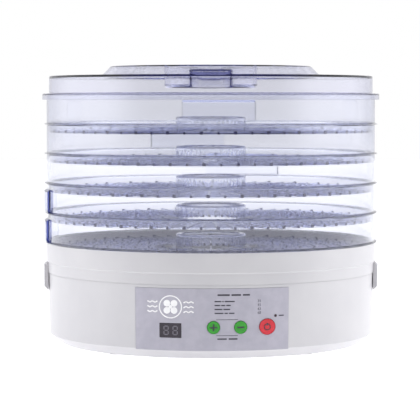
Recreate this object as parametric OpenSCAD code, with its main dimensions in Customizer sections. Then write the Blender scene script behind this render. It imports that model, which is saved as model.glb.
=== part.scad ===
/* [Trays] */
// Outer radius of a tray wall
tray_r = 160.4; // [130:0.2:200]
// Thickness of a tray wall
tray_wall = 2; // [1.6:0.1:3]
// Height that each tray adds to the stack
tray_pitch = 28.6; // [24:0.2:45]
// How far a tray's flange stands out from its wall
flange_out = 2.4; // [1:0.1:4]
// Thickness of the flange
flange_t = 1.6; // [1.2:0.1:2.4]
// How deep a tray's skirt drops into the ring below
nest = 7.5; // [5:0.1:9]
// Outer radius of the open hub in the middle of a tray
hub_r = 34.4; // [25:0.2:50]
// Height of the hub above the flange plane
hub_rise = 7.5; // [4:0.1:11]
// Height of a rib of the food grid
rib_h = 2.4; // [1.8:0.1:3]
// Width of a rib of the food grid
rib_w = 2.4; // [1.6:0.1:3.2]
// Number of ribs that run all the way to the hub
long_ribs = 16; // [12:1:20]
// Vent slots in each group round the hub
hub_slots = 8; // [4:1:8]
// Groups of vent slots round the hub
slot_groups = 5; // [3:1:5]
// How far a tray's finger pad stands out from its wall
pad_out = 2.9; // [1.5:0.1:3.5]
// Angle that the finger pad covers
pad_angle = 28; // [12:1:50]
// Height of the finger pad above the flange plane
pad_h = 23.4; // [16:0.2:24]

/* [Lid] */
// Thickness of the lid
lid_t = 2; // [1.6:0.1:2.6]
// How far the lid's skirt stands in from the tray wall
lid_inset = 2.4; // [1:0.1:6]
// Height of the lid's outer step above the stack
lid_step_h = 18.5; // [12:0.5:30]
// Height of the raised dome above the step
dome_h = 9.5; // [5:0.5:20]
// Radius of the flat top of the dome
dome_r = 98; // [75:1:120]
// Radius of the grip well in the middle of the dome
well_r = 43.5; // [38:0.5:55]
// Depth of the grip well
well_d = 21.3; // [14:0.1:24]
// Width of the grip bar across the well
bar_w = 41; // [30:0.5:46]
// How far the top of the grip bar lies below the dome
bar_drop = 4.2; // [1:0.1:8]
// How far the lid's rim stands out from the tray wall
rim_out = 4.2; // [3.6:0.1:5]
// How far the lid's rim drops below the top of the stack
rim_drop = 4.5; // [2:0.1:5]

/* [Base] */
// Height of the base up to the lowest tray
base_h = 100; // [94:0.5:140]
// Height of the joint between housing and top cover
joint_z = 70.5; // [66:0.5:80]
// How far the housing wall stands inside the tray wall at the joint
wall_inset = 1.2; // [0.4:0.2:4]
// How much narrower the housing wall is at its foot
wall_taper = 1; // [0:0.1:3]
// Wall thickness of the housing and the top cover
shell_t = 2.6; // [2:0.1:3.4]
// Height of the sloped foot of the housing
foot_slope_h = 9; // [4:0.5:12]
// How far the sloped foot goes in
foot_slope_in = 11.2; // [4:0.2:16]
// Height of the collar that holds the lowest tray
collar_h = 18; // [14:0.5:22]
// Height of the rubber feet
foot_h = 3; // [2:0.5:6]
// Radius of a rubber foot
foot_r = 9; // [6:0.5:12]
// Height of the side grips
grip_h = 27; // [15:0.5:30]
// Angle that each side grip covers
grip_angle = 20; // [8:1:40]
// How far a side grip stands out from the band
grip_out = 3.9; // [2:0.1:4.6]

/* [Controls] */
// Height of the control panel
panel_h = 57; // [50:0.5:58]
// Thickness of the control panel
panel_t = 0.8; // [0.5:0.1:1.2]
// Angle of the panel's left end from the front
panel_left = 25.7; // [24:0.1:30]
// Angle of the panel's right end from the front
panel_right = 26.5; // [25:0.1:30]
// Radius of the green buttons
small_button_r = 5.7; // [4:0.1:7]
// Radius of the red power button
power_button_r = 7.2; // [5:0.1:8.4]
// How far the buttons travel
button_travel = 0.8; // [0.3:0.1:1]
// Width of the display window
window_w = 20.4; // [14:0.2:24]
// Height of the display window
window_h = 13.3; // [9:0.1:16]

/* [Drive] */
// Radius of the fan blades
fan_r = 56; // [40:0.5:60]
// Number of fan blades
fan_blades = 7; // [4:1:9]
// Radius of the motor shaft
shaft_r = 2.5; // [2:0.1:3]
// Radius of the motor's rotor
rotor_r = 15; // [12:0.5:17]
// Height of the stator's stack of sheets
stack_h = 20; // [14:0.5:26]
// Radius of the heater ring
heater_r = 45; // [35:0.5:50]

/* [Clearances] */
// Gap all round between a tray's skirt and the ring below
nest_gap = 0.5; // [0.3:0.05:1]
// Gap all round a button
button_gap = 0.3; // [0.3:0.05:0.6]
// Gap all round the shaft in its bushes
shaft_gap = 0.05; // [0.02:0.01:0.1]
// Gap between fan blades and air duct
duct_gap = 4; // [2:0.5:8]
// Gap all round the rotor in the stator
rotor_gap = 0.4; // [0.3:0.05:1]
// Gap all round a fitted cover or lens
fit_gap = 0.1; // [0.05:0.01:0.3]

/* [Hidden] */
$fn = 96;
tray_count = 5;
// Turn of each tray in the stack, lowest first: its finger pad starts at the front
tray_turn = [-90, -87.6, 167.85, 189.05, 176.9];

far = 400;
eps = 0.01;
tray_in_r = tray_r - tray_wall;
skirt_r = tray_in_r - nest_gap;
skirt_in_r = skirt_r - 1.8;
hub_wall = 2;
stack_top = base_h + tray_count * tray_pitch;
wall_foot_z = foot_h + foot_slope_h;
wall_top_r = tray_r - wall_inset;
// Radius of the housing wall at a height
function wall_r(z) = wall_top_r - wall_taper * (joint_z - z) / (joint_z - wall_foot_z);
foot_edge_r = wall_r(wall_foot_z) - foot_slope_in;
band_r = wall_top_r + 0.7;
collar_r = tray_r + 0.6;
collar_z = base_h - collar_h;
plate_t = 2.6;
seat_z = foot_h + plate_t;
plate_r = foot_edge_r - 2.4;
deck_z = base_h - nest - 1.5;
deck_t = 2.4;
duct_r = fan_r + duct_gap;
duct_t = 1;
outlet_r = duct_r + 2;
panel_z = foot_h + 8;
screw_r = 1.5;
boss_r = 4.2;
boss_ring_r = plate_r - 5;
seat_in_r = boss_ring_r - boss_r - 1;
boss_angles = [30 : 60 : 330];
foot_inset = 20.6;
foot_ring_r = plate_r - foot_inset;
// Buttons: distance right of the middle, and height
button_z = foot_h + 29.5;
plus_x = 2.4;
minus_x = 27;
power_x = 51.3;
window_angle = -13.4;
window_z = foot_h + 26.5;
lens_angle = 21.7;
lens_z = foot_h + 39.3;
lens_r = 1.3;
button_lip = 1.4;
inner_r = wall_r(button_z) - shell_t;
// The board stands behind the deepest button
board_y = -(inner_r - 22);
board_t = 1.6;
board_w = 124;
board_z = foot_h + 11;
board_h = 48;
board_post_x = 56;
board_post_z = [board_z + 4, board_z + board_h - 4];
switch_h = 3.5;
plunger_h = 1;
// Motor stack, from the bottom cover up
motor_z = seat_z + 10.4;
bracket_t = 2;
bracket_leg = 3;
stator_top = motor_z + stack_h;
rotor_bore_r = rotor_r + rotor_gap;
fan_z = stator_top + 10;
fan_h = 13;
hub_top = fan_z + fan_h + 1;
duct_z = fan_z - 2;
heater_z = hub_top + 12;
heater_tube_r = 3.2;
gland_z = foot_h + 21;
gland_r = 6;
cord_r = 3.5;

// Turns children from the front (-Y) by an angle, positive to the right
module at_front(angle) { rotate([0, 0, angle]) children(); }

// A slice of a revolved profile, between two angles from the front
module arc_of(from, to) {
    rotate([0, 0, from - 90]) rotate_extrude(angle = to - from) children();
}

// A band that follows the tapered wall between two heights, from one depth to another
module wall_band(z1, z2, depth, proud) {
    polygon([[wall_r(z1) - depth, z1], [wall_r(z1) + proud, z1],
        [wall_r(z2) + proud, z2], [wall_r(z2) - depth, z2]]);
}

function arc_angle(w) = w / wall_r(window_z) * 180 / PI;

module window_arc(gap, depth, proud) {
    half = arc_angle(window_w / 2 + gap);
    arc_of(window_angle - half, window_angle + half)
        wall_band(window_z - window_h / 2 - gap, window_z + window_h / 2 + gap, depth, proud);
}

module button_bores() {
    for (b = [[plus_x, small_button_r], [minus_x, small_button_r], [power_x, power_button_r]])
        translate([b[0], 0, button_z]) rotate([90, 0, 0]) cylinder(r = b[1] + button_gap, h = far);
}

module lens_bore(r) {
    at_front(lens_angle) translate([0, 0, lens_z]) rotate([90, 0, 0]) cylinder(r = r, h = far);
}

module base_housing() color("whitesmoke") difference() {
    union() {
        rotate_extrude() polygon([
            [foot_edge_r, foot_h], [wall_r(wall_foot_z), wall_foot_z], [wall_top_r, joint_z],
            [wall_top_r - shell_t, joint_z], [wall_r(wall_foot_z) - shell_t, wall_foot_z + 1],
            [foot_edge_r, seat_z + plate_t], [seat_in_r, seat_z + plate_t],
            [seat_in_r, seat_z], [plate_r + fit_gap, seat_z], [plate_r + fit_gap, foot_h]]);
        for (a = boss_angles) at_front(a) translate([0, -boss_ring_r, seat_z]) cylinder(r = boss_r, h = 24);
        for (x = [-board_post_x, board_post_x], z = board_post_z) intersection() {
            translate([x, board_y, z]) rotate([90, 0, 0]) cylinder(r = 3.2, h = 40);
            cylinder(r = wall_r(wall_foot_z) - shell_t / 2, h = joint_z);
        }
    }
    for (a = boss_angles) at_front(a) translate([0, -boss_ring_r, seat_z - 1]) cylinder(r = screw_r, h = 21);
    for (x = [-board_post_x, board_post_x], z = board_post_z)
        translate([x, board_y + 1, z]) rotate([90, 0, 0]) cylinder(r = 1.2, h = 9);
    arc_of(-panel_left, panel_right) wall_band(panel_z, panel_z + panel_h, panel_t, 3);
    window_arc(fit_gap, far / 10, 3);
    button_bores();
    lens_bore(lens_r);
    translate([0, 0, gland_z]) rotate([-90, 0, 0]) cylinder(r = gland_r, h = far);
}

module top_cover() color("whitesmoke") {
    lip_out = wall_top_r - shell_t - fit_gap;
    lip_in = lip_out - 1.6;
    groove = 0.8;
    difference() {
        rotate_extrude() polygon([
            [band_r - groove, joint_z], [band_r - groove, joint_z + groove], [band_r, joint_z + groove],
            [band_r, collar_z - 1.1], [collar_r, collar_z], [collar_r, base_h], [tray_in_r, base_h],
            [tray_in_r, deck_z], [outlet_r, deck_z], [outlet_r, deck_z - deck_t],
            [band_r - shell_t, deck_z - deck_t], [band_r - shell_t, joint_z + 4],
            [lip_in, joint_z + 2], [lip_in, joint_z - 4], [lip_out, joint_z - 4], [lip_out, joint_z]]);
        for (a = [45 : 90 : 315]) at_front(a) translate([0, -outlet_r - 5, deck_z - deck_t - 1])
            cylinder(r = screw_r, h = deck_t + 2);
    }
}

module bottom_cover() color("gainsboro") difference() {
    union() {
        translate([0, 0, foot_h]) cylinder(r = plate_r, h = plate_t);
        for (x = [-26, 26]) translate([x, 0, seat_z - 1]) cylinder(r = 4.5, h = motor_z - 5 - seat_z + 1);
        for (p = power_posts()) translate([p[0], p[1], seat_z - 1]) cylinder(r = 3, h = 11);
    }
    // Air intake: rings of slots between six spokes
    for (r = [34 : 6.5 : 60]) for (a = [0 : 60 : 300])
        translate([0, 0, foot_h - 1]) rotate([0, 0, a + 90 / r * 3]) rotate_extrude(angle = 60 - 540 / r)
            translate([r, 0]) square([3.4, plate_t + 2]);
    for (a = boss_angles) at_front(a) translate([0, -boss_ring_r, foot_h - 1]) {
        cylinder(r = screw_r + 0.2, h = plate_t + 2);
        cylinder(r = 3.6, h = 2.4);
    }
    for (a = [45 : 90 : 315]) at_front(a) translate([0, -foot_ring_r, foot_h - 1]) cylinder(r = 3, h = 9);
    for (x = [-26, 26]) translate([x, 0, foot_h - 1]) cylinder(r = screw_r, h = 30);
    for (p = power_posts()) translate([p[0], p[1], seat_z + 1]) cylinder(r = 1.2, h = 11);
}

module foot(angle) color("dimgray") at_front(angle) translate([0, -foot_ring_r, 0]) {
    cylinder(r1 = foot_r - 1, r2 = foot_r, h = 1);
    translate([0, 0, 1]) cylinder(r = foot_r, h = foot_h - 1);
    translate([0, 0, foot_h - eps]) cylinder(r = 3, h = plate_t + eps);
    translate([0, 0, seat_z]) cylinder(r1 = 4, r2 = 3, h = 1.5);
}

// A grip pad on the band, over the joint
module side_grip(angle) color("whitesmoke") {
    top = collar_z - 1.2;
    arc_of(angle - grip_angle / 2, angle + grip_angle / 2) polygon([
        [band_r, top - grip_h], [band_r + grip_out, top - grip_h + 4],
        [band_r + grip_out, top - 2.5], [band_r + 1, top], [band_r, top]]);
}

module control_panel() color("silver") difference() {
    arc_of(-panel_left + 0.05, panel_right - 0.05)
        wall_band(panel_z + fit_gap, panel_z + panel_h - fit_gap, panel_t, 0.2);
    window_arc(fit_gap, 5, 3);
    button_bores();
    lens_bore(lens_r);
}

module display_window() color("#2a2030") window_arc(0, shell_t - 0.6, 0.1);

module display_module() color("#202024") {
    x = wall_r(window_z) * sin(window_angle);
    depth = 9;
    translate([x - 12, board_y - depth, window_z - 8]) cube([24, depth, 16]);
}

module indicator_lens() color("crimson") intersection() {
    lens_bore(lens_r);
    difference() {
        cylinder(r = wall_r(lens_z) + 0.5, h = base_h);
        cylinder(r = wall_r(lens_z) - shell_t - 3, h = base_h);
    }
}

// A push button: a cap that follows the wall, a stop lip behind the wall, and a stem
module push_button(x, r, shade) color(shade) {
    cap_r = wall_r(button_z) + 1.1;
    lip_y = sqrt(pow(inner_r, 2) - pow(x + r + button_lip, 2)) - 0.6;
    stem_y = board_y - switch_h - plunger_h - button_travel - 0.2;
    translate([0, 0, button_z]) {
        intersection() {
            translate([x, -lip_y + 1, 0]) rotate([90, 0, 0]) cylinder(r = r, h = far);
            translate([0, 0, -20]) cylinder(r = cap_r, h = 40);
        }
        translate([x, -lip_y + 1.4, 0]) rotate([90, 0, 0]) cylinder(r = r + button_lip, h = 1.4);
        translate([x, stem_y, 0]) rotate([90, 0, 0]) cylinder(r = 1.8, h = lip_y + stem_y);
    }
}

module push_switch(x) color("#303034") translate([x, board_y, button_z]) {
    translate([-3, -switch_h, -3]) cube([6, switch_h, 6]);
    translate([0, -switch_h + eps, 0]) rotate([90, 0, 0]) cylinder(r = 1.7, h = plunger_h + eps);
}

module control_board() color("seagreen") difference() {
    translate([-board_w / 2, board_y, board_z]) cube([board_w, board_t, board_h]);
    for (x = [-board_post_x, board_post_x], z = board_post_z)
        translate([x, board_y + 5, z]) rotate([90, 0, 0]) cylinder(r = 1.4, h = 10);
}

module control_board_screws() color("silver")
    for (x = [-board_post_x, board_post_x], z = board_post_z)
        translate([x, board_y + board_t, z]) rotate([90, 0, 0]) {
            translate([0, 0, -1.8]) cylinder(r = 2.6, h = 1.8);
            cylinder(r = 1.2, h = 8);
        }

power_board_x = outlet_r + 2;
power_board_w = 60;
power_board_d = 74;
power_board_z = seat_z + 10;
function power_posts() = [for (x = [4, power_board_w - 4], y = [-1, 1])
    [power_board_x - 6 + x, y * (power_board_d / 2 - 4)]];

module power_board() color("darkgreen") difference() {
    translate([power_board_x - 6, -power_board_d / 2, power_board_z])
        cube([power_board_w, power_board_d, board_t]);
    for (p = power_posts()) translate([p[0], p[1], power_board_z - 1]) cylinder(r = 1.4, h = 5);
}

module power_board_screws() color("silver")
    for (p = power_posts()) translate([p[0], p[1], power_board_z + board_t]) {
        cylinder(r = 2.6, h = 1.8);
        translate([0, 0, -8]) cylinder(r = 1.2, h = 8);
    }

module transformer() color("goldenrod") translate([power_board_x + 4, -28, power_board_z + board_t]) {
    translate([0, 6, 0]) cube([34, 20, 28]);
    translate([6, 0, 4]) cube([22, 32, 20]);
}

module relay() color("royalblue")
    translate([power_board_x + 6, 10, power_board_z + board_t]) cube([19, 15, 15.5]);

module capacitor() color("#303036")
    translate([power_board_x + 38, 14, power_board_z + board_t]) {
        cylinder(r = 6, h = 17);
        translate([0, 0, 17]) cylinder(r = 5, h = 0.6);
    }

module air_duct() color("lightgray") difference() {
    union() {
        translate([0, 0, duct_z]) cylinder(r = duct_r + duct_t, h = deck_z - deck_t - duct_z);
        translate([0, 0, deck_z - deck_t - duct_t]) cylinder(r = outlet_r + 9, h = duct_t);
    }
    translate([0, 0, duct_z - 1]) cylinder(r = duct_r, h = far);
    for (a = [45 : 90 : 315]) at_front(a) translate([0, -outlet_r - 5, deck_z - deck_t - 3])
        cylinder(r = screw_r, h = 5);
    for (s = [-1, 1]) at_front(s * 16) translate([0, 0, heater_z]) rotate([90, 0, 0])
        cylinder(r = 2.4, h = far);
    at_front(40) translate([0, 0, heater_z + 6]) rotate([90, 0, 0]) cylinder(r = 2.1, h = far);
}

module outlet_grille() color("whitesmoke") translate([0, 0, deck_z - deck_t]) {
    rim = outlet_r - 6;
    rotate_extrude() translate([rim, 0]) square([outlet_r - fit_gap - rim, deck_t]);
    for (r = [rim / 3, rim * 2 / 3]) ring(r, 2.4, deck_t);
    cylinder(r = 7, h = deck_t);
    for (a = [0 : 30 : 330]) rotate([0, 0, a]) translate([6, -1, 0]) cube([rim - 5, 2, deck_t]);
}

// A sheathed heating ring with two terminals that leave through the duct
module heater_element() color("dimgray") {
    translate([0, 0, heater_z]) {
        arc_of(16, 344) translate([heater_r, 0]) circle(r = heater_tube_r);
        for (s = [-1, 1]) at_front(s * 16) rotate([90, 0, 0]) translate([0, 0, heater_r - 2.6]) {
            cylinder(r = 2.2, h = duct_r + 10 - heater_r + 2.6);
        }
    }
}

module heater_support() color("beige") translate([0, 0, heater_z - heater_tube_r - 1.6]) intersection() {
    cylinder(r = duct_r, h = 1.6);
    for (a = [45, 135]) rotate([0, 0, a]) translate([-far / 2, -5, 0]) cube([far, 10, 1.6]);
}

module thermal_cutout() color("lightslategray") at_front(140) difference() {
    translate([0, 0, heater_z - 4]) rotate([90, 0, 0]) union() {
        cylinder(r = 8, h = duct_r + 7);
        cylinder(r = 5, h = duct_r + 10);
    }
    translate([0, 0, heater_z - 20]) cylinder(r = duct_r + duct_t, h = 40);
}

module temperature_probe() color("silver") at_front(40) translate([0, 0, heater_z + 6])
    rotate([90, 0, 0]) translate([0, 0, duct_r - 12]) cylinder(r = 2, h = 20);

module fan() color("lightsteelblue") difference() {
    union() {
        translate([0, 0, fan_z]) cylinder(r = 12, h = fan_h);
        translate([0, 0, fan_z + fan_h]) cylinder(r1 = 12, r2 = 9, h = 1);
        intersection() {
            for (i = [0 : fan_blades - 1]) rotate([0, 0, i * 360 / fan_blades])
                translate([10, 0, fan_z + fan_h / 2]) rotate([32, 0, 0])
                    translate([0, -11, -0.9]) cube([fan_r, 22, 1.8]);
            translate([0, 0, fan_z]) cylinder(r = fan_r, h = fan_h);
        }
    }
    translate([0, 0, fan_z - 1]) cylinder(r = shaft_r, h = fan_h - 1);
}

module motor_shaft() color("silver") translate([0, 0, motor_z - 7.5])
    cylinder(r = shaft_r, h = fan_z + fan_h - 2 - motor_z + 7.5);

module motor_rotor() color("darkgray") translate([0, 0, motor_z + 0.5]) difference() {
    cylinder(r = rotor_r, h = stack_h - 1);
    translate([0, 0, -1]) cylinder(r = shaft_r, h = stack_h + 2);
}

limb_in = rotor_bore_r + 3.6;
limb_out = limb_in + 23;
limb_w = 9;

module motor_stator() color("slategray") difference() {
    translate([-30, -rotor_bore_r - 8, motor_z]) cube([60, rotor_bore_r + 8 + limb_out, stack_h]);
    translate([0, 0, motor_z - 1]) cylinder(r = rotor_bore_r, h = stack_h + 2);
    translate([-21, limb_in, motor_z - 1]) cube([42, limb_out - limb_in - limb_w, stack_h + 2]);
    for (x = [-26, 26]) translate([x, 0, motor_z - 1]) cylinder(r = screw_r, h = stack_h + 2);
}

module motor_coil() color("chocolate") difference() {
    over = 5;
    translate([-17, limb_out - limb_w - over, motor_z - over])
        cube([34, limb_w + 2 * over, stack_h + 2 * over]);
    translate([-18, limb_out - limb_w, motor_z]) cube([36, limb_w, stack_h]);
}

module bearing(z) color("peru") translate([0, 0, z]) difference() {
    cylinder(r = 5, h = 5);
    translate([0, 0, -1]) cylinder(r = shaft_r + shaft_gap, h = 7);
}

// A bridge that holds a bearing; its legs stand on the stator
module motor_bracket(z, leg_z) color("lightgray") difference() {
    union() {
        translate([-30, -8, z]) cube([60, 16, bracket_t]);
        for (x = [-30, 22]) translate([x, -8, leg_z]) cube([8, 16, bracket_leg]);
    }
    translate([0, 0, z - 1]) cylinder(r = 5, h = bracket_t + 2);
    for (x = [-26, 26]) translate([x, 0, min(z, leg_z) - 1]) cylinder(r = screw_r, h = 10);
}

module bottom_cover_screws() color("silver")
    for (a = boss_angles) at_front(a) translate([0, -boss_ring_r, foot_h]) {
        cylinder(r = 3.4, h = 1.4);
        cylinder(r = screw_r, h = 16);
    }

module cord_gland() color("#2b2b2e") translate([0, 0, gland_z]) rotate([-90, 0, 0]) difference() {
    wall = wall_r(gland_z);
    union() {
        translate([0, 0, wall - 8]) cylinder(r = gland_r, h = 11);
        translate([0, 0, wall + 0.2]) cylinder(r = gland_r + 2.5, h = 1.8);
        translate([0, 0, wall - 8]) cylinder(r = gland_r + 1.5, h = 4.4);
    }
    translate([0, 0, wall - 9]) cylinder(r = cord_r, h = 14);
}

// Outline of a tray's wall, flange and skirt, with the flange plane at zero
function tray_outline() = [
    [tray_r, flange_t], [tray_r, tray_pitch - 0.6], [tray_r - 0.6, tray_pitch],
    [tray_in_r + 0.4, tray_pitch], [tray_in_r, tray_pitch - 0.4], [tray_in_r, flange_t],
    [skirt_in_r, 0], [skirt_in_r, rib_h - nest], [skirt_in_r - 3, rib_h - nest],
    [skirt_in_r - 3, -nest], [skirt_r - 0.5, -nest], [skirt_r, 0.5 - nest], [skirt_r, 0],
    [tray_r + flange_out, 0], [tray_r + flange_out, flange_t]];

module ring(r, w, h) difference() {
    cylinder(r = r + w / 2, h = h);
    translate([0, 0, -1]) cylinder(r = r - w / 2, h = h + 2);
}

module tray(i) color("lightsteelblue") translate([0, 0, base_h + i * tray_pitch]) rotate([0, 0, tray_turn[i]]) {
    rotate_extrude() polygon(tray_outline());
    // Food grid: long and short ribs and two rings
    translate([0, 0, -nest]) {
        for (k = [0 : 2 * long_ribs - 1]) {
            from = k % 2 == 0 ? hub_r - 1 : (hub_r + skirt_in_r) / 2;
            rotate([0, 0, k * 180 / long_ribs - 90]) translate([from, -rib_w / 2, 0])
                cube([skirt_in_r - 1 - from, rib_w, rib_h]);
        }
        for (f = [0.25, 0.5]) ring(hub_r + f * (skirt_in_r - hub_r), rib_w, rib_h);
    }
    // Open hub with groups of vent slots
    difference() {
        translate([0, 0, -nest]) rotate_extrude() polygon([
            [hub_r - hub_wall, 0], [hub_r, 0], [hub_r, nest + hub_rise - 2],
            [hub_r - 2, nest + hub_rise], [hub_r - 4.5, nest + hub_rise],
            [hub_r - 4.5, nest + hub_rise - 1.6], [hub_r - hub_wall, nest + hub_rise - 1.6 - 1]]);
        for (g = [0 : slot_groups - 1], k = [0 : hub_slots - 1])
            rotate([0, 0, g * 360 / slot_groups + (k - (hub_slots - 1) / 2) * 8 - 90])
                translate([hub_r - 3.5, -1, rib_h - nest + 1.6]) cube([6, 2, 6]);
    }
    // Finger pad
    arc_of(-pad_angle / 2, pad_angle / 2) polygon([[tray_r - 0.5, flange_t - 0.4],
        [tray_r + flange_out, flange_t - 0.4], [tray_r + pad_out, flange_t + 1.2],
        [tray_r + pad_out, pad_h - 2], [tray_r + pad_out - 2, pad_h], [tray_r - 0.5, pad_h]]);
}

module lid() color("lightblue") {
    seat = stack_top;
    step_z = seat + lid_step_h;
    top_z = step_z + dome_h;
    skirt = tray_r - lid_inset;
    rim = tray_r + rim_out;
    rim_wall = 1.7;
    slope_r = dome_r + dome_h;
    floor_z = top_z - well_d;
    bar_z = top_z - bar_drop;
    difference() {
        rotate_extrude() polygon([
            [rim - rim_wall, seat - rim_drop], [rim, seat - rim_drop], [rim, seat + 1.1], [rim - 0.5, seat + 1.6],
            [skirt, seat + 1.6], [skirt, step_z - 1.5], [skirt - 1.5, step_z], [slope_r, step_z],
            [dome_r, top_z], [well_r, top_z], [well_r, floor_z], [well_r + lid_t, floor_z],
            [well_r + lid_t, top_z - lid_t], [dome_r - 0.8, top_z - lid_t],
            [slope_r - 0.8, step_z - lid_t], [skirt - lid_t, step_z - lid_t], [skirt - lid_t, seat],
            [rim - rim_wall, seat]]);
        // Vents let the moist air out of the dome
        for (a = [0 : 15 : 345]) rotate([0, 0, a]) translate([well_r + 16, -1.2, top_z - lid_t - 1])
            cube([18, 2.4, lid_t + 2]);
    }
    // Well floor, left and right of the bar, then the hollow bar itself
    difference() {
        intersection() {
            translate([0, 0, floor_z]) cylinder(r = well_r + 0.5, h = well_d);
            union() {
                translate([-far / 2, -far / 2, floor_z]) cube([far, far, lid_t]);
                translate([-bar_w / 2, -far / 2, floor_z]) cube([bar_w, far, bar_z - floor_z]);
            }
        }
        translate([-bar_w / 2 + lid_t, -far / 2, floor_z - 1]) cube([bar_w - 2 * lid_t, far, bar_z - floor_z + 1 - lid_t]);
    }
}

base_housing();
top_cover();
bottom_cover();
side_grip(-90);  // side_grip_left
side_grip(90);  // side_grip_right
foot(-45);  // foot_front_left
foot(45);  // foot_front_right
foot(-135);  // foot_back_left
foot(135);  // foot_back_right
control_panel();
display_window();
display_module();
indicator_lens();
push_button(plus_x, small_button_r, "forestgreen");  // plus_button
push_button(minus_x, small_button_r, "forestgreen");  // minus_button
push_button(power_x, power_button_r, "crimson");  // power_button
push_switch(plus_x);  // plus_switch
push_switch(minus_x);  // minus_switch
push_switch(power_x);  // power_switch
control_board();
control_board_screws();
power_board();
transformer();
relay();
capacitor();
power_board_screws();
air_duct();
outlet_grille();
heater_element();
heater_support();
thermal_cutout();
temperature_probe();
fan();
motor_shaft();
motor_rotor();
motor_stator();
motor_coil();
bearing(motor_z - bracket_leg - bracket_t - 1);  // lower_bearing
bearing(stator_top + bracket_leg - 2);  // upper_bearing
motor_bracket(motor_z - bracket_leg - bracket_t, motor_z - bracket_leg);  // lower_bracket
motor_bracket(stator_top + bracket_leg, stator_top);  // upper_bracket
bottom_cover_screws();
cord_gland();
tray(0);  // tray_5
tray(1);  // tray_4
tray(2);  // tray_3
tray(3);  // tray_2
tray(4);  // tray_1
lid();
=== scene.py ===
# Clear five-tray food dehydrator: white ABS base, blue-tinted polystyrene trays and lid, built round the CAD frame.
import bpy
import math
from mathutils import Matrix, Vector


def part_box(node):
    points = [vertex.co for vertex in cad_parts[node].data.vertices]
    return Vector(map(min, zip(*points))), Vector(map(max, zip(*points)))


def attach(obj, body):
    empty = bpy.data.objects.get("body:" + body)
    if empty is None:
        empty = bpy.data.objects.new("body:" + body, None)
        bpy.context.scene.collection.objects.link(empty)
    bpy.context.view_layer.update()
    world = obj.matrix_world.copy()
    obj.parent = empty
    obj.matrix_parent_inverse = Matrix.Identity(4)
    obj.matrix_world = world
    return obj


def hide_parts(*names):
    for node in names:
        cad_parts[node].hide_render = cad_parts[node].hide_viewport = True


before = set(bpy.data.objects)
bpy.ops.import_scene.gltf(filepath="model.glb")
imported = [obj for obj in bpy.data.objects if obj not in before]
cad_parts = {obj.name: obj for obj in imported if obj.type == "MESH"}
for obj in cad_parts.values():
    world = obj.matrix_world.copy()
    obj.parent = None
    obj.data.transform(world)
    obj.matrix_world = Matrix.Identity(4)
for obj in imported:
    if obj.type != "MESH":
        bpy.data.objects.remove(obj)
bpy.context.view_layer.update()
mm = 0.001
weld = 0.000002  # metres: points nearer than this are one
arcStep = 0.4  # radians to a step of a rounded corner
print("frame loaded:", len(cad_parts), "CAD nodes")


# small helpers, each one a thing done by hand in the viewport

def objectMode():
    if bpy.context.mode != "OBJECT":
        bpy.ops.object.mode_set(mode="OBJECT")


def only(obj):  # this piece selected and active, nothing else
    objectMode()
    bpy.ops.object.select_all(action="DESELECT")
    obj.hide_set(False)
    obj.select_set(True)
    bpy.context.view_layer.objects.active = obj
    return obj


def editAll(obj):  # edit mode with the whole mesh selected
    only(obj)
    bpy.ops.object.mode_set(mode="EDIT")
    bpy.ops.mesh.select_mode(type="VERT")
    bpy.ops.mesh.select_all(action="SELECT")


def pickEdges(obj, test):  # edit mode with the edges whose two ends pass the test selected
    only(obj)
    bpy.ops.object.mode_set(mode="EDIT")
    bpy.ops.mesh.select_mode(type="EDGE")
    bpy.ops.mesh.select_all(action="DESELECT")
    bpy.ops.object.mode_set(mode="OBJECT")
    verts = obj.data.vertices
    for e in obj.data.edges:
        e.select = test(verts[e.vertices[0]].co, verts[e.vertices[1]].co)
    bpy.ops.object.mode_set(mode="EDIT")


def named(name):  # names the piece just added
    obj = bpy.context.active_object
    obj.name = name
    obj.data.name = name
    return obj


def freeze(obj):  # puts the object's place into its mesh
    only(obj)
    bpy.ops.object.transform_apply(location=True, rotation=True, scale=True)
    return obj


def turned(obj, angle):  # turns a finished mesh about the stack's axis
    only(obj)
    obj.rotation_euler = (0, 0, angle)
    return freeze(obj)


def lifted(obj, z):
    only(obj)
    obj.location.z = z
    return freeze(obj)


def copyOf(obj, name):
    only(obj)
    bpy.ops.object.duplicate(linked=False)
    return named(name)


def join(first, others):
    only(first)
    for o in others:
        o.select_set(True)
    bpy.ops.object.join()
    return first


def combine(obj, tool, how="UNION"):  # boolean with another closed mesh, which is used up
    only(obj)
    mod = obj.modifiers.new("combine", "BOOLEAN")
    mod.operation = how
    mod.solver = "MANIFOLD"
    mod.object = tool
    bpy.ops.object.modifier_apply(modifier=mod.name)
    bpy.data.objects.remove(tool, do_unlink=True)
    return obj


def smoothed(obj, angle=30):
    only(obj)
    bpy.ops.object.shade_smooth_by_angle(angle=math.radians(angle))
    even = obj.modifiers.new("evenNormals", "WEIGHTED_NORMAL")  # keeps big faces true beside small rounded corners
    even.weight, even.keep_sharp = 100, True
    bpy.ops.object.modifier_apply(modifier="evenNormals")
    return obj


def rounded(outline):  # corners given as (r, z, radius) become short arcs
    points = []
    count = len(outline)
    for i, corner in enumerate(outline):
        here = Vector(corner[:2])
        if len(corner) < 3:
            points.append(here)
            continue
        back = (Vector(outline[i - 1][:2]) - here).normalized()
        ahead = (Vector(outline[(i + 1) % count][:2]) - here).normalized()
        half = back.angle(ahead) / 2
        reach = corner[2] / math.tan(half)
        centre = here + (back + ahead).normalized() * (corner[2] / math.sin(half))
        start, end = here + back * reach - centre, here + ahead * reach - centre
        sweep = start.angle_signed(end)
        steps = max(2, round(abs(sweep) / arcStep))
        for k in range(steps + 1):
            a = -sweep * k / steps
            points.append(centre + Vector((start.x * math.cos(a) - start.y * math.sin(a),
                                           start.x * math.sin(a) + start.y * math.cos(a))))
    return points


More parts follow.
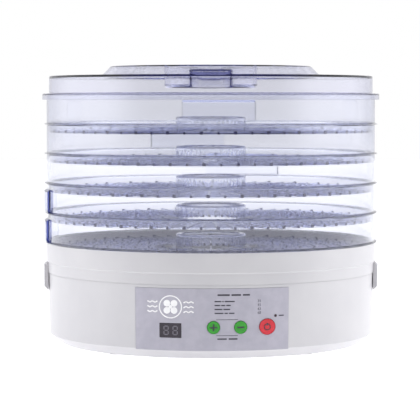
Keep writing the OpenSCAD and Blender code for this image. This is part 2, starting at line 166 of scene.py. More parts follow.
def drawOutline(name, points):  # one point, extruded along the outline and closed with a face
    bpy.ops.object.select_all(action="DESELECT")
    first = points[0] * mm
    bpy.ops.mesh.primitive_plane_add(size=0.001, location=(first.x, 0, first.y))
    obj = freeze(named(name))
    editAll(obj)
    bpy.ops.mesh.merge(type="CENTER")
    for a, b in zip(points, points[1:]):
        step = (b - a) * mm
        bpy.ops.mesh.extrude_region_move(TRANSFORM_OT_translate={"value": (step.x, 0, step.y)})
    bpy.ops.mesh.select_all(action="SELECT")
    bpy.ops.mesh.edge_face_add()
    return obj


def revolve(name, outline, steps=144, start=None, end=None):
    # spins an outline of (r, z) in millimetres about the stack's axis; start and end are degrees from the front
    obj = drawOutline(name, rounded(outline))
    whole = start is None
    if whole:
        bpy.ops.mesh.delete(type="ONLY_FACE")
        bpy.ops.mesh.select_all(action="SELECT")
    sweep = 2 * math.pi if whole else math.radians(end - start)
    bpy.ops.mesh.spin(steps=steps, angle=sweep, center=(0, 0, 0), axis=(0, 0, 1))
    bpy.ops.mesh.select_all(action="SELECT")
    bpy.ops.mesh.remove_doubles(threshold=weld)
    bpy.ops.mesh.normals_make_consistent(inside=False)
    objectMode()
    if not whole:
        co = [v.co for v in obj.data.vertices]
        middle = math.atan2(sum(c.y for c in co), sum(c.x for c in co))
        turned(obj, math.radians((start + end) / 2 - 90) - middle)
    return obj


def block(name, low, high, soft=0.0, segments=2):  # a box between two corners, with its edges rounded
    bpy.ops.object.select_all(action="DESELECT")
    low, high = Vector(low), Vector(high)
    bpy.ops.mesh.primitive_cube_add(size=1, location=(low + high) / 2, scale=high - low)
    obj = freeze(named(name))
    if soft:
        editAll(obj)
        bpy.ops.mesh.bevel(offset=soft, segments=segments, affect="EDGES")
    objectMode()
    return obj


def aroundAxis(obj, count):  # repeats the whole mesh round the stack's axis, stopping one step short of the first
    editAll(obj)
    bpy.ops.mesh.spin(steps=count - 1, dupli=True, angle=2 * math.pi * (count - 1) / count, center=(0, 0, 0),
                      axis=(0, 0, 1))
    bpy.ops.mesh.select_all(action="SELECT")
    objectMode()
    return obj


def linear(hexCode):  # sRGB hex to linear colour
    channels = [int(hexCode[i:i + 2], 16) / 255 for i in (1, 3, 5)]
    return [c / 12.92 if c <= 0.04045 else ((c + 0.055) / 1.055) ** 2.4 for c in channels] + [1.0]


def add(owner, kind, settings=(), links=()):
    # one node of a material or of the world, with its settings
    # links are (its input, other node, other node's output)
    node = owner.node_tree.nodes.new(kind)
    for key, value in dict(settings).items():
        if isinstance(key, str) and hasattr(node, key):
            setattr(node, key, value)
        else:
            node.inputs[key].default_value = value
    for socket, other, output in links:
        owner.node_tree.links.new(other.outputs[output], node.inputs[socket])
    return node


def newMaterial(name, settings):
    material = bpy.data.materials.new(name)
    material.use_nodes = True
    shader = material.node_tree.nodes["Principled BSDF"]
    for key, value in settings.items():
        shader.inputs[key].default_value = value
    coords = add(material, "ShaderNodeTexCoord")
    return material, shader, coords


def grained(name, settings, tones, tonePatch, grain, depth, roughSpread=0.06, edge=0.3):
    # moulded or cast surface: two close tones in soft patches, a fine grain of a real size in millimetres,
    # and edges that catch the light as if rounded by the given millimetres
    material, shader, coords = newMaterial(name, settings)
    patch = add(material, "ShaderNodeTexNoise", {"Scale": 1000 / tonePatch, "Detail": 3.0, "Roughness": 0.55},
                [("Vector", coords, "Object")])
    ramp = add(material, "ShaderNodeValToRGB", links=[("Fac", patch, "Fac")])
    ramp.color_ramp.elements[0].position, ramp.color_ramp.elements[1].position = 0.35, 0.65
    ramp.color_ramp.elements[0].color, ramp.color_ramp.elements[1].color = linear(tones[0]), linear(tones[1])
    material.node_tree.links.new(ramp.outputs["Color"], shader.inputs["Base Color"])
    rough = settings.get("Roughness", 0.5)
    spread = add(material, "ShaderNodeMapRange", {"To Min": rough - roughSpread, "To Max": rough + roughSpread},
                 [("Value", patch, "Fac")])
    material.node_tree.links.new(spread.outputs["Result"], shader.inputs["Roughness"])
    fine = add(material, "ShaderNodeTexNoise", {"Scale": 1000 / grain, "Detail": 2.0}, [("Vector", coords, "Object")])
    softEdge = add(material, "ShaderNodeBevel", {"Radius": edge * mm, "samples": 4})
    bump = add(material, "ShaderNodeBump", {"Strength": 0.35, "Distance": depth * mm},
               [("Height", fine, "Fac"), ("Normal", softEdge, "Normal")])
    material.node_tree.links.new(bump.outputs["Normal"], shader.inputs["Normal"])
    return material


# General-purpose polystyrene, injection moulded and polished: water-clear with a blue tint that deepens along
# the plastic, so edges and ribs look navy while a wall seen square on is nearly colourless.
def clearStyrene(name, depthTint, density, swirl):
    material, shader, coords = newMaterial(name, {
        "Base Color": linear("#ffffff"), "Transmission Weight": 1.0, "IOR": 1.55, "Roughness": 0.04})
    flow = add(material, "ShaderNodeTexNoise", {"Scale": 28.0, "Detail": 2.0, "Distortion": 0.6},
               [("Vector", coords, "Object")])  # flow marks about 35 mm long
    bump = add(material, "ShaderNodeBump", {"Strength": swirl, "Distance": 0.0006}, [("Height", flow, "Fac")])
    material.node_tree.links.new(bump.outputs["Normal"], shader.inputs["Normal"])
    depth = add(material, "ShaderNodeVolumeAbsorption", {"Color": linear(depthTint), "Density": density})
    output = material.node_tree.nodes["Material Output"]
    material.node_tree.links.new(depth.outputs["Volume"], output.inputs["Volume"])
    return material


trayPlastic = clearStyrene("clearPolystyreneTray", "#5f80d6", 40.0, 0.05)
# the grid is the tray's own polystyrene with a much denser tint than the wall: real depth of blue along the ribs plus
# painted shade on the floors
gridPlasticShaded = clearStyrene("clearPolystyreneGridShaded", "#5474d4", 210.0, 0.0)
lidPlastic = clearStyrene("clearPolystyreneLid", "#6872cc", 46.0, 0.05)

# where a rib meets the skirt end on, the clear polystyrene is drawn as opaque navy: painted shade for the light lost
# along the rib's whole length
ribEndPaintedShade = grained("ribEndPaintedNavyShade", {"Roughness": 0.2, "IOR": 1.59}, ("#1d1f52", "#26285e"), 5, 0.6, 0.004,
                        0.03)

# ABS, injection moulded in a satin-polished tool: white, soft broad highlights, very fine grain; its colour is set a
# light grey, darker than the real white, as painted shade over the whole moulding
whiteAbsPaintedShade = grained("mouldedWhiteAbsPaintedShade", {"Roughness": 0.34, "IOR": 1.53}, ("#c5c4c8", "#cbcacd"), 60, 0.9, 0.02,
                   edge=0.5)
# the same ABS from a spark-eroded tool, duller
undersideAbs = grained("texturedWhiteAbs", {"Roughness": 0.6, "IOR": 1.53}, ("#d7d7da", "#e0e0e2"), 40, 0.8, 0.06)
# screen-printed polyester film over a silver ink: grey with a faint metallic fleck
panelFilm = grained("printedSilverFilm", {"Roughness": 0.36, "IOR": 1.57, "Metallic": 0.25, "Coat Weight": 0.3,
                    "Coat Roughness": 0.2}, ("#a9a7b4", "#b2b0bc"), 9, 0.5, 0.01)
# smoked acrylic, polished: nearly black with a sharp reflection
smokedAcrylic = grained("smokedAcrylic", {"Roughness": 0.08, "IOR": 1.49}, ("#221a28", "#2b2230"), 30, 2.0, 0.004,
                        0.02)
# ABS coloured through, gloss moulded: even colour with a small bright highlight
greenAbs = grained("glossGreenAbs", {"Roughness": 0.22, "IOR": 1.53}, ("#1f8f16", "#2a9f20"), 8, 0.6, 0.006, 0.03)
redAbs = grained("glossRedAbs", {"Roughness": 0.22, "IOR": 1.53}, ("#c8182a", "#d62436"), 8, 0.6, 0.006, 0.03)
# tinted acrylic over the lamp, unlit: dark red-brown and glossy
indicatorAcrylic = grained("tintedIndicatorAcrylic", {"Roughness": 0.15, "IOR": 1.49}, ("#3a2830", "#44303a"), 5, 0.6,
                           0.004, 0.02)
# screen-printing inks: thin, slightly uneven cover
whiteInk = grained("whitePrintInk", {"Roughness": 0.45}, ("#f4f4f6", "#fbfbfc"), 6, 0.5, 0.008)
darkInk = grained("darkPrintInk", {"Roughness": 0.5}, ("#34323c", "#3f3d48"), 6, 0.5, 0.008)
# epoxy of unlit display segments: flat mid grey
segmentGrey = grained("unlitSegmentEpoxy", {"Roughness": 0.4}, ("#6c6874", "#78747f"), 6, 0.5, 0.004)
# moulded rubber: near black and dull, no clear highlight
rubber = grained("mouldedRubber", {"Roughness": 0.75, "IOR": 1.52}, ("#27272a", "#303034"), 12, 0.7, 0.05)
# nylon of switches and cases: black with a weak sheen
blackPlastic = grained("blackNylon", {"Roughness": 0.5}, ("#1c1c20", "#26262a"), 12, 0.7, 0.03)
# polypropylene: pale, waxy grey
fanPlastic = grained("mouldedFanPolypropylene", {"Roughness": 0.45}, ("#c9ccd2", "#d3d6db"), 20, 0.8, 0.02)
# solder mask: glossy deep green over the weave of the board
solderMask = grained("greenSolderMask", {"Roughness": 0.3}, ("#0f5a34", "#156a3e"), 5, 0.6, 0.02)
# pressed mica flakes: tan and mottled
mica = grained("pressedMica", {"Roughness": 0.55}, ("#b9a98a", "#cbbd9f"), 4, 0.6, 0.03)
# varnished steel laminations: brown with a wet gloss
varnish = grained("varnishedCore", {"Roughness": 0.3}, ("#4b3a24", "#5c482e"), 8, 0.8, 0.03)
# polyester relay case: plain blue, half gloss
relayBlue = grained("blueRelayCase", {"Roughness": 0.35}, ("#1d3f8e", "#24499c"), 12, 0.8, 0.01)
# enamelled copper wire: orange brown metal under lacquer
copper = grained("enamelledCopper", {"Roughness": 0.35, "Metallic": 1.0}, ("#8f4a25", "#a6592f"), 3, 0.5, 0.03)
# sintered bronze: matt, slightly porous yellow metal
bronze = grained("sinteredBronze", {"Roughness": 0.45, "Metallic": 1.0}, ("#8d6b3a", "#a07c48"), 3, 0.4, 0.02)
# galvanised sheet: grey metal in lighter and darker patches
zincSheet = grained("galvanisedSheet", {"Roughness": 0.38, "Metallic": 1.0}, ("#a9adb1", "#c0c4c8"), 7, 0.5, 0.01,
                    0.1)
# ground steel: bright, sharp reflections
steel = grained("groundSteel", {"Roughness": 0.28, "Metallic": 1.0}, ("#b4b5b8", "#c6c7c9"), 5, 0.3, 0.005)
# heater sheath: steel oxidised brown black by heat
darkSteel = grained("oxidisedSteelSheath", {"Roughness": 0.5, "Metallic": 1.0}, ("#3a3634", "#4a4542"), 6, 0.4, 0.01)
print("materials made:", len(bpy.data.materials))


def finish(obj, material, body, replaced=()):
    # last step on every new piece: its finish, the body it rides on and the CAD nodes it stands for
    obj.data.materials.clear()
    obj.data.materials.append(material)
    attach(obj, body)
    if replaced:
        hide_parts(*replaced)
    return obj


# camera a little above the lid, looking at the middle of the stack; metres, the lens in millimetres

cameraSettings = {"distance": 1.905, "height": 0.2355, "lens": 166.3, "aimHeight": 0.1303, "aimX": -0.0008}
bpy.ops.object.camera_add(location=(cameraSettings["aimX"], -cameraSettings["distance"], cameraSettings["height"]))
camera = bpy.context.active_object
camera.name = "camera"
camera.data.lens = cameraSettings["lens"]
camera.data.sensor_width = 36
aim = Vector((cameraSettings["aimX"], 0, cameraSettings["aimHeight"]))
camera.rotation_euler = (aim - camera.location).to_track_quat("-Z", "Y").to_euler()
bpy.context.scene.camera = camera

# one tray in millimetres, modelled once and copied; longEnd, shortEnd and shortRib are half widths in parts of ribW

tray = {"wallR": 160.4, "wall": 2.0, "pitch": 28.6, "flangeR": 162.8, "flange": 1.6, "nest": 7.5, "gap": 0.5,
        "skirt": 1.8, "ribH": 2.2, "ribW": 2.4, "ribStop": 0.9, "longRibs": 32, "longEnd": 0.62, "shortEnd": 0.42,
        "shortRib": 0.4, "endIn": 0.5, "endOut": 1.3, "rings": 8, "ringW": 1.7, "ringLow": 0.1, "ringHigh": 1.7,
        "hubR": 34.4, "hubRise": 7.5, "hubWall": 2, "hubLip": 5.5, "slotGroups": 5, "slotsInGroup": 8,
        "slotStep": 8.0, "slotW": 2.0, "slotLow": 4, "slotHigh": 10.2,
        "padOut": 2.9, "padAngle": 28, "padTop": 23.4, "padCorner": 2.4}
inner = tray["wallR"] - tray["wall"]
skirtR = inner - tray["gap"]
skirtIn = skirtR - tray["skirt"]

trayShell = revolve("trayShell", [
    (tray["wallR"], tray["flange"], 0.5), (tray["wallR"], tray["pitch"] - 0.5, 0.3),
    (tray["wallR"] - 0.6, tray["pitch"]), (inner + 0.4, tray["pitch"]),
    (inner, tray["pitch"] - 0.4), (inner, tray["flange"] + 0.4, 0.6),
    (skirtIn, 0.2, 0.6), (skirtIn, -tray["nest"], 0.3), (skirtR, -tray["nest"], 0.4), (skirtR, 0, 0.2),
    (tray["flangeR"] - 0.7, 0, 0.3), (tray["flangeR"], 0.55, 0.3), (tray["flangeR"] - 0.2, 1.1, 0.3)])

gridZ = -tray["nest"] * mm
ribHigh = gridZ + tray["ribH"] * mm
ribOut = (skirtR - tray["ribStop"]) * mm
endFrom, endTo = (skirtIn - tray["endIn"]) * mm, (skirtIn + tray["endOut"]) * mm
half = tray["ribW"] / 2 * mm
longRib = block("longRib", ((tray["hubR"] - 1) * mm, -half, gridZ), (ribOut, half, ribHigh), 0.4 * mm, 1)
aroundAxis(longRib, tray["longRibs"])
# opaque blocks at the rib ends that carry the painted navy shade of the clear ribs seen end on
half = tray["ribW"] * tray["longEnd"] * mm
ribEnd = block("ribEnd", (endFrom, -half, gridZ + 0.1 * mm), (endTo, half, ribHigh + 0.7 * mm), 0.3 * mm, 1)
aroundAxis(ribEnd, tray["longRibs"])
half = tray["ribW"] * tray["shortEnd"] * mm
shortEnd = block("shortEnd", (endFrom, -half, gridZ + 0.2 * mm), (endTo, half, ribHigh + 0.2 * mm), 0.3 * mm, 1)
turned(shortEnd, math.pi / tray["longRibs"])
aroundAxis(shortEnd, tray["longRibs"])
join(ribEnd, [shortEnd])
midR = (tray["hubR"] + skirtIn) / 2
half = tray["ribW"] * tray["shortRib"] * mm
shortRib = block("shortRib", (midR * mm, -half, gridZ + 0.2 * mm), (ribOut, half, ribHigh - 0.1 * mm), 0.35 * mm, 1)
turned(shortRib, math.pi / tray["longRibs"])
aroundAxis(shortRib, tray["longRibs"])
trayGrid = combine(longRib, shortRib)
trayGrid.name = "trayGrid"
for k in range(1, tray["rings"] + 1):
    r = tray["hubR"] + (skirtIn - tray["hubR"]) * k / (tray["rings"] + 1)
    half = tray["ringW"] / 2
    low, high = -tray["nest"] + tray["ringLow"], -tray["nest"] + tray["ringHigh"]
    ring = revolve("gridRing", [(r - half, low, 0.3), (r + half, low, 0.3), (r + half, high, 0.3),
                                (r - half, high, 0.3)], steps=128)
    combine(trayGrid, ring)

hubR, hubTop = tray["hubR"], tray["hubRise"]
hubIn, lipIn = hubR - tray["hubWall"], hubR - tray["hubLip"]
hub = revolve("trayHub", [
    (hubIn, -tray["nest"] - 0.05, 0.3), (hubR, -tray["nest"] - 0.05, 0.3), (hubR, hubTop, 2.2), (lipIn, hubTop, 0.5),
    (lipIn, hubTop - 1.6, 0.5), (hubIn, hubTop - 1.9, 0.8)], steps=96)
slot = block("ventSlot", ((hubR - 3.6) * mm, -tray["slotW"] / 2 * mm, (-tray["nest"] + tray["slotLow"]) * mm),
             ((hubR + 1.5) * mm, tray["slotW"] / 2 * mm, (-tray["nest"] + tray["slotHigh"]) * mm), 0.4 * mm, 1)
slots = []
for g in range(tray["slotGroups"]):
    for k in range(tray["slotsInGroup"]):
        angle = g * 360 / tray["slotGroups"] + (k - (tray["slotsInGroup"] - 1) / 2) * tray["slotStep"] - 90
        slots.append(turned(copyOf(slot, "ventSlotCopy"), math.radians(angle)))
bpy.data.objects.remove(slot, do_unlink=True)
combine(hub, join(slots[0], slots[1:]), "DIFFERENCE")
combine(trayShell, hub)
pad = revolve("fingerPad", [
    (tray["wallR"] - 0.6, tray["flange"] - 0.5), (tray["flangeR"] - 0.4, tray["flange"] - 0.5, 0.3),
    (tray["wallR"] + tray["padOut"], tray["flange"] + 1.2, 0.5),
    (tray["wallR"] + tray["padOut"], tray["padTop"] - 1.6, 1.2),
    (tray["wallR"] + 0.4, tray["padTop"], 0.3), (tray["wallR"] - 0.6, tray["padTop"])], 28,
    -tray["padAngle"] / 2, tray["padAngle"] / 2)
padEnd = math.radians(tray["padAngle"] / 2) - 0.001
pickEdges(pad, lambda a, b: min(abs(math.atan2(v.x, -v.y)) for v in (a, b)) > padEnd
          and min(v.xy.length for v in (a, b)) > (tray["wallR"] + 2) * mm and abs(a.z - b.z) > 5 * mm)
bpy.ops.mesh.bevel(offset=tray["padCorner"] * mm, segments=4, affect="EDGES")
objectMode()
combine(trayShell, pad)
smoothed(trayShell)
smoothed(trayGrid)
print("tray modelled:", len(trayShell.data.polygons) + len(trayGrid.data.polygons), "faces")

trayTurns = {"tray_5": -90, "tray_4": -87.6, "tray_3": 167.85, "tray_2": 189.05, "tray_1": 176.9}
for node, degrees in trayTurns.items():
    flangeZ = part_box(node)[0].z + tray["nest"] * mm
    for source, name, plastic in ((trayShell, "clear_" + node, trayPlastic), (trayGrid, "grid_" + node, gridPlasticShaded),
                                  (ribEnd, "ribEndsPaintedShade_" + node, ribEndPaintedShade)):
        piece = copyOf(source, name)
        turned(piece, math.radians(degrees))
        lifted(piece, flangeZ)
        piece.visible_shadow = False  # clear plastic lets the studio light down to the deck
        finish(piece, plastic, node, [node] if source == trayShell else ())
for source in (trayShell, trayGrid, ribEnd):
    bpy.data.objects.remove(source, do_unlink=True)
print("trays placed")

# lid in millimetres

lid = {"inset": 2.4, "stepH": 18.5, "domeH": 9.5, "domeR": 98, "wellR": 43.5, "wellD": 21.3, "barW": 41,
       "barDrop": 4.2, "barSoft": 1.8, "rimR": 164.6, "rimDrop": 4.5, "wall": 2.0, "lugW": 38.5, "lugH": 1.9,
       "lugChamfer": 1.7, "vents": 24, "ventIn": 16, "ventOut": 34, "ventW": 2.4}
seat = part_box("lid")[0].z / mm + lid["rimDrop"]
stepZ = seat + lid["stepH"]
topZ = stepZ + lid["domeH"]
skirt = tray["wallR"] - lid["inset"]
rim, t = lid["rimR"], lid["wall"]
slopeR = lid["domeR"] + lid["domeH"]
wellR, floorZ = lid["wellR"], topZ - lid["wellD"]
barZ = topZ - lid["barDrop"]
lidShell = revolve("clear_lid", [
    (rim - 1.7, seat - lid["rimDrop"], 0.3), (rim, seat - lid["rimDrop"], 0.3), (rim, seat + 1.4, 1.0),
    (skirt, seat + 1.6, 0.6), (skirt, stepZ, 1.3), (slopeR, stepZ, 1.5), (lid["domeR"], topZ, 1.8),
    (wellR, topZ, 1.6), (wellR, floorZ + 2.5), (wellR + 1, floorZ + 2.5),
    (wellR + t, floorZ + 2.5), (wellR + t, topZ - t, 0.5),
    (lid["domeR"] - 0.8, topZ - t, 1.0), (slopeR - 0.8, stepZ - t, 1.0), (skirt - t, stepZ - t, 0.8),
    (skirt - t, seat, 0.3), (rim - 1.7, seat, 0.3)], steps=176)
wellFloor = revolve("wellFloor", [
    (wellR + 1.9, floorZ + 3.0), (wellR + 0.1, floorZ + 3.0), (wellR + 0.1, floorZ + t, 2.4), (0.0, floorZ + t),
    (0.0, floorZ), (wellR + 1.9, floorZ, 3.6)], steps=96)
bar = block("gripBar", (-lid["barW"] / 2 * mm, -(wellR + 1) * mm, (floorZ + 0.4) * mm),
            (lid["barW"] / 2 * mm, (wellR + 1) * mm, barZ * mm), lid["barSoft"] * mm, 3)
combine(wellFloor, bar)
hollow = block("barHollow", (-(lid["barW"] / 2 - t) * mm, -(wellR - 1.5) * mm, (floorZ - 3) * mm),
               ((lid["barW"] / 2 - t) * mm, (wellR - 1.5) * mm, (barZ - t) * mm), 0.8 * mm, 2)
combine(wellFloor, hollow, "DIFFERENCE")
combine(lidShell, wellFloor)
for side in (-1, 1):  # a locating lug on the step, front and back
    across = sorted((side * (slopeR + skirt - 3) / 2, side * (skirt - 1.0)))
    lug = block("lug", (-lid["lugW"] / 2 * mm, across[0] * mm, (stepZ - 1) * mm),
                (lid["lugW"] / 2 * mm, across[1] * mm, (stepZ + lid["lugH"]) * mm))
    pickEdges(lug, lambda a, b: a.z > stepZ * mm and b.z > stepZ * mm and abs(a.x - b.x) < 1e-6)
    bpy.ops.mesh.bevel(offset=lid["lugChamfer"] * mm, segments=1, affect="EDGES")
    objectMode()
    combine(lidShell, lug)
vent = block("lidVent", ((wellR + lid["ventIn"]) * mm, -lid["ventW"] / 2 * mm, (topZ - 5) * mm),
             ((wellR + lid["ventOut"]) * mm, lid["ventW"] / 2 * mm, (topZ + 2) * mm), 0.6 * mm, 1)
aroundAxis(vent, lid["vents"])
combine(lidShell, vent, "DIFFERENCE")
smoothed(lidShell)
lidShell.visible_shadow = False
finish(lidShell, lidPlastic, "lid", ["lid"])
print("lid modelled:", len(lidShell.data.polygons), "faces")

# control label: prints laid on its curved face, digits, button marks
# places are degrees from the front and millimetres above the feet, sizes are millimetres

label = {"inkT": 0.06, "gap": 0.02, "cut": 2.5, "badge": (-13.3, 51.0), "badgeR": 10.6, "digitH": 8.6, "digitW": 4.9,
         "stroke": 1.0, "rows": [56.2, 52.6, 49.0, 45.4], "rowDashes": [(6, 1.2, 9), (5, 3.6, 4), (7, 6), (8, 3, 5)],
         "rowNumbers": ["35", "55", "63", "68"], "rowsAt": 1.2, "rowBold": 1.15, "wordGap": 1.0, "numbersAt": 16.0,
         "numberH": 3.2, "titleAt": (7.4, 62.0), "titleBold": 1.5, "title": [(-9, 11), (2.4, 8.6), (11.6, 6.4)],
         "brackets": (39.6, 25.1), "bracketBold": 0.45, "bracketShort": 5, "captionZ": 22.0, "captionBold": 1.3,
         "caption": [(-4.6, 8.5), (5.4, 8.0)], "lampGap": 4.0, "lampWord": 4.6, "lampBold": 1.1, "digitStep": 4.1}
emblem = {"line": 1.1, "blades": 4, "bladeOut": 4.6, "bladeR": 3.1, "hubR": 1.7, "waveRows": 3, "waveSteps": 4,
          "waveStart": 13.0, "waveRun": 2.3, "rowGap": 4.4, "waveLong": 2.7, "waveBold": 1.2, "waveLean": 28}
sign = {"long": 6.2, "bold": 1.35, "armOut": 1.9, "arm": 2.5, "ringOut": 3.1, "ringIn": 2.3, "ringDrop": 0.2,
        "strokeUp": 2.2, "strokeBold": 0.9, "stroke": 2.6}
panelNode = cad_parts["control_panel"]
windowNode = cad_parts["display_window"]
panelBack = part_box("control_panel")[0].y - 12 * mm  # where the flat artwork is drawn, in front of the label
wallR = -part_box("control_panel")[0].y / mm


def acrossAt(angle):  # how far right of the middle a direction in degrees falls on the label, in millimetres
    return wallR * math.sin(math.radians(angle))


def middleOf(node):  # middle of a CAD piece seen from the front: x and z in millimetres
    low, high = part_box(node)
    return (low.x + high.x) / 2 / mm, (low.z + high.z) / 2 / mm


def flatBar(x, z, width, height, lean=0.0):  # an upright flat bar of ink, centre x and z in millimetres
    bpy.ops.object.select_all(action="DESELECT")
    bpy.ops.mesh.primitive_plane_add(size=1, location=(x * mm, panelBack, z * mm), rotation=(math.pi / 2, lean, 0))
    obj = named("inkBar")
    obj.scale = (width * mm, height * mm, 1)
    return freeze(obj)


def flatRing(x, z, outer, inner, sides=64):  # a flat ring, or a disc when inner is nothing
    bpy.ops.object.select_all(action="DESELECT")
    bpy.ops.mesh.primitive_circle_add(vertices=sides, radius=outer * mm, fill_type="NGON",
                                      location=(x * mm, panelBack, z * mm), rotation=(math.pi / 2, 0, 0))
    obj = freeze(named("inkRing"))
    if inner:
        editAll(obj)
        bpy.ops.mesh.select_mode(type="FACE")
        bpy.ops.mesh.inset(thickness=(outer - inner) * mm)
        bpy.ops.mesh.delete(type="FACE")
        objectMode()
    return obj


def flatText(words, x, z, height):
    bpy.ops.object.select_all(action="DESELECT")
    bpy.ops.object.text_add(location=(x * mm, panelBack, z * mm), rotation=(math.pi / 2, 0, 0))
    obj = named("inkNumber")
    obj.data.body = words
    obj.data.size = height * mm
    obj.data.align_x, obj.data.align_y = "CENTER", "CENTER"
    bpy.ops.object.convert(target="MESH")
    return freeze(bpy.context.active_object)


def printOn(pieces, name, target, ink, body):
    # joins flat artwork, cuts it every few millimetres, lays it on the curved face and gives it a film thickness
    obj = join(pieces[0], pieces[1:])
    obj.name = obj.data.name = name
    low, high = min(v.co.x for v in obj.data.vertices), max(v.co.x for v in obj.data.vertices)
    x = low + label["cut"] * mm
    while x < high:
        editAll(obj)
        bpy.ops.mesh.bisect(plane_co=(x, 0, 0), plane_no=(1, 0, 0))
        x += label["cut"] * mm
    objectMode()
    only(obj)
    wrap = obj.modifiers.new("lay", "SHRINKWRAP")
    wrap.wrap_method, wrap.target, wrap.offset = "PROJECT", target, label["gap"] * mm
    wrap.use_project_y, wrap.use_positive_direction, wrap.use_negative_direction = True, True, False
    bpy.ops.object.modifier_apply(modifier="lay")
    editAll(obj)
    bpy.ops.mesh.remove_doubles(threshold=weld)
    bpy.ops.mesh.select_mode(type="FACE")
    bpy.ops.mesh.select_all(action="SELECT")
    objectMode()
    facing = sum(f.normal.y * f.area for f in obj.data.polygons)
    film = obj.modifiers.new("film", "SOLIDIFY")
    film.thickness = label["inkT"] * mm
    film.offset = 1.0 if facing < 0 else -1.0
    bpy.ops.object.modifier_apply(modifier="film")
    editAll(obj)
    bpy.ops.mesh.normals_make_consistent(inside=False)
    objectMode()
    return finish(obj, ink, body)


badgeX, badgeZ = acrossAt(label["badge"][0]), label["badge"][1]
art = [flatRing(badgeX, badgeZ, label["badgeR"], label["badgeR"] - emblem["line"])]
for k in range(emblem["blades"]):  # fan blades inside the ring
    a = math.radians(45 + 360 / emblem["blades"] * k)
    art.append(flatRing(badgeX + emblem["bladeOut"] * math.cos(a), badgeZ + emblem["bladeOut"] * math.sin(a),
                        emblem["bladeR"], 0, 24))
art.append(flatRing(badgeX, badgeZ, emblem["hubR"], 0, 24))
for side in (-1, 1):  # waves of warm air on each side
    for row in range(emblem["waveRows"]):
        for k in range(emblem["waveSteps"]):
            lean = math.radians(emblem["waveLean"] if k % 2 else -emblem["waveLean"])
            art.append(flatBar(badgeX + side * (emblem["waveStart"] + emblem["waveRun"] * k),
                               badgeZ + (row - 1) * emblem["rowGap"], emblem["waveLong"], emblem["waveBold"], lean))
printOn(art, "badgePrint", panelNode, whiteInk, "base")

titleAngle, titleZ = label["titleAt"]
art = [flatBar(acrossAt(titleAngle) + dx, titleZ, w, label["titleBold"]) for dx, w in label["title"]]
for z, dashes in zip(label["rows"], label["rowDashes"]):
    x = acrossAt(label["rowsAt"])
    for w in dashes:
        art.append(flatBar(x + w / 2, z, w, label["rowBold"]))
        x += w + label["wordGap"]
for z, number in zip(label["rows"], label["rowNumbers"]):
    art.append(flatText(number, acrossAt(label["numbersAt"]), z, label["numberH"]))
plusX, minusX = middleOf("plus_button")[0], middleOf("minus_button")[0]
middleX = (plusX + minusX) / 2
for z in label["brackets"]:
    art.append(flatBar(middleX, z, minusX - plusX - label["bracketShort"], label["bracketBold"]))
art += [flatBar(middleX + dx, label["captionZ"], w, label["captionBold"]) for dx, w in label["caption"]]
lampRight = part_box("indicator_lens")[1].x / mm
art.append(flatBar(lampRight + label["lampGap"], middleOf("indicator_lens")[1], label["lampWord"], label["lampBold"]))
printOn(art, "labelPrint", panelNode, darkInk, "base")

windowX, windowZ = middleOf("display_window")
art = []
for side in (-1, 1):  # two seven-segment digits, unlit
    x, h, w, t = windowX + side * label["digitStep"], label["digitH"] / 2, label["digitW"] / 2, label["stroke"]
    for row in (-1, 0, 1):
        art.append(flatBar(x, windowZ + row * (h - t / 2), 2 * w - 2 * t, t))
    for across in (-1, 1):
        for row in (-1, 1):
            art.append(flatBar(x + across * (w - t / 2), windowZ + row * h / 2, t, h - 1.5 * t))
printOn(art, "digitSegments", windowNode, segmentGrey, "base")

buttons = {"plus_button": ("plus_key", "green_button"), "minus_button": ("minus_key", "green_button"),
           "power_button": ("power_key", "red_button")}
for node, (body, slot) in buttons.items():
    x, z = middleOf(node)
    if node == "power_button":  # a broken ring with a stroke through the gap
        art = [flatRing(x, z - sign["ringDrop"], sign["ringOut"], sign["ringIn"]),
               flatBar(x, z + sign["strokeUp"], sign["strokeBold"], sign["stroke"])]
    else:
        art = [flatBar(x, z, sign["long"], sign["bold"])]
    if node == "plus_button":  # the two arms of the upright
        art += [flatBar(x, z + way * sign["armOut"], sign["bold"], sign["arm"]) for way in (1, -1)]
    printOn(art, node + "Mark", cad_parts[node], darkInk, body)
print("label printed and buttons marked")

# finishes of the pieces that keep their CAD shape

cadFinish = {
    whiteAbsPaintedShade: ["base_housing", "top_cover", "side_grip_left", "side_grip_right", "outlet_grille"],
    undersideAbs: ["bottom_cover"],
    rubber: ["foot_front_left", "foot_front_right", "foot_back_left", "foot_back_right", "cord_gland"],
    panelFilm: ["control_panel"], smokedAcrylic: ["display_window"], indicatorAcrylic: ["indicator_lens"],
    greenAbs: ["plus_button", "minus_button"], redAbs: ["power_button"],
    blackPlastic: ["display_module", "plus_switch", "minus_switch", "power_switch", "capacitor"],
    solderMask: ["control_board", "power_board"], relayBlue: ["relay"], varnish: ["transformer", "motor_stator"],
    zincSheet: ["air_duct", "thermal_cutout", "lower_bracket", "upper_bracket", "motor_rotor"],
    steel: ["motor_shaft", "temperature_probe", "control_board_screws", "power_board_screws", "bottom_cover_screws"],
    darkSteel: ["heater_element"], mica: ["heater_support"], fanPlastic: ["fan"], copper: ["motor_coil"],
    bronze: ["lower_bearing", "upper_bearing"]}
for material, nodes in cadFinish.items():
    for node in nodes:
        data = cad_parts[node].data
        data.materials.clear()
        data.materials.append(material)
print("CAD pieces finished")

# floor and light

bpy.ops.object.select_all(action="DESELECT")
floorSize = 12  # metres
bpy.ops.mesh.primitive_plane_add(size=floorSize, location=(0, 0, 0))
floor = named("studioFloor")
# matt white paper that also gives off light, so that it reads white up to the horizon
floorPaint = newMaterial("paleStudioPaper", {
    "Base Color": linear("#f4f4f5"), "Roughness": 0.6, "Emission Color": linear("#ffffff"),
    "Emission Strength": 0.64})[0]
floor.data.materials.append(floorPaint)

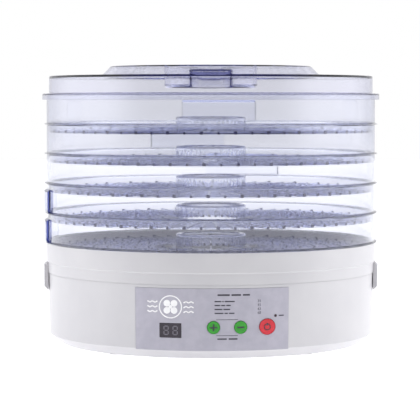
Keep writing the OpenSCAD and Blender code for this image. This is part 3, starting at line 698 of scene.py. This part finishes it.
world = bpy.data.worlds.new("softStudio")
bpy.context.scene.world = world
world.use_nodes = True
world.node_tree.nodes.clear()
coords = add(world, "ShaderNodeTexCoord")
axes = add(world, "ShaderNodeSeparateXYZ", links=[("Vector", coords, "Generated")])
sideways = add(world, "ShaderNodeMath", {"operation": "ABSOLUTE"}, [(0, axes, "X")])
fades = []
for source, output, (low, high, atLow, atHigh) in (
        (axes, "Y", (-0.8, -0.1, 0.15, 0.88)),  # dark in front, white behind
        (axes, "Z", (0.12, 0.75, 1.0, 0.6)),  # darker overhead
        (sideways, "Value", (0.6, 0.95, 1.0, 1.7))):  # brightest at the two sides
    fades.append(add(world, "ShaderNodeMapRange", {
        "interpolation_type": "SMOOTHSTEP", "From Min": low, "From Max": high, "To Min": atLow, "To Max": atHigh},
        [("Value", source, output)]))
both = add(world, "ShaderNodeMath", {"operation": "MULTIPLY"}, [(0, fades[0], "Result"), (1, fades[1], "Result")])
allThree = add(world, "ShaderNodeMath", {"operation": "MULTIPLY"}, [(0, both, "Value"), (1, fades[2], "Result")])
studio = add(world, "ShaderNodeBackground", {"Color": linear("#fbfbff")}, [("Strength", allThree, "Value")])
paper = add(world, "ShaderNodeBackground", {"Color": linear("#ffffff")})  # what the camera sees behind the floor
rays = add(world, "ShaderNodeLightPath")
pickWorld = add(world, "ShaderNodeMixShader", links=[
    (0, rays, "Is Camera Ray"), (1, studio, "Background"), (2, paper, "Background")])
add(world, "ShaderNodeOutputWorld", links=[("Surface", pickWorld, "Shader")])

lampAim = 0.13  # metres above the floor
softboxes = {  # place, size in metres, power in watts, aimed at the middle of the stack
    "leftSoftbox": ((-1.35, -0.35, 0.45), (0.9, 1.5), 6),
    "rightSoftbox": ((1.35, -0.10, 0.45), (1.0, 1.5), 8),
    "topSoftbox": ((0.0, -0.2, 1.9), (1.8, 1.8), 13)}
for name, (place, size, power) in softboxes.items():
    bpy.ops.object.light_add(type="AREA", location=place)
    lamp = bpy.context.active_object
    lamp.name = name
    lamp.data.shape = "RECTANGLE"
    lamp.data.size, lamp.data.size_y = size
    lamp.data.energy = power
    # soft light only: no hard-edged reflection on the clear walls
    lamp.visible_camera = lamp.visible_glossy = lamp.visible_transmission = False
    lamp.rotation_euler = (Vector((0, 0, lampAim)) - Vector(place)).to_track_quat("-Z", "Z").to_euler()

scene = bpy.context.scene
scene.view_settings.view_transform = "Standard"
scene.cycles.max_bounces = 40
scene.cycles.transmission_bounces = 40
scene.cycles.glossy_bounces = 12
scene.cycles.transparent_max_bounces = 24
print("studio lit")
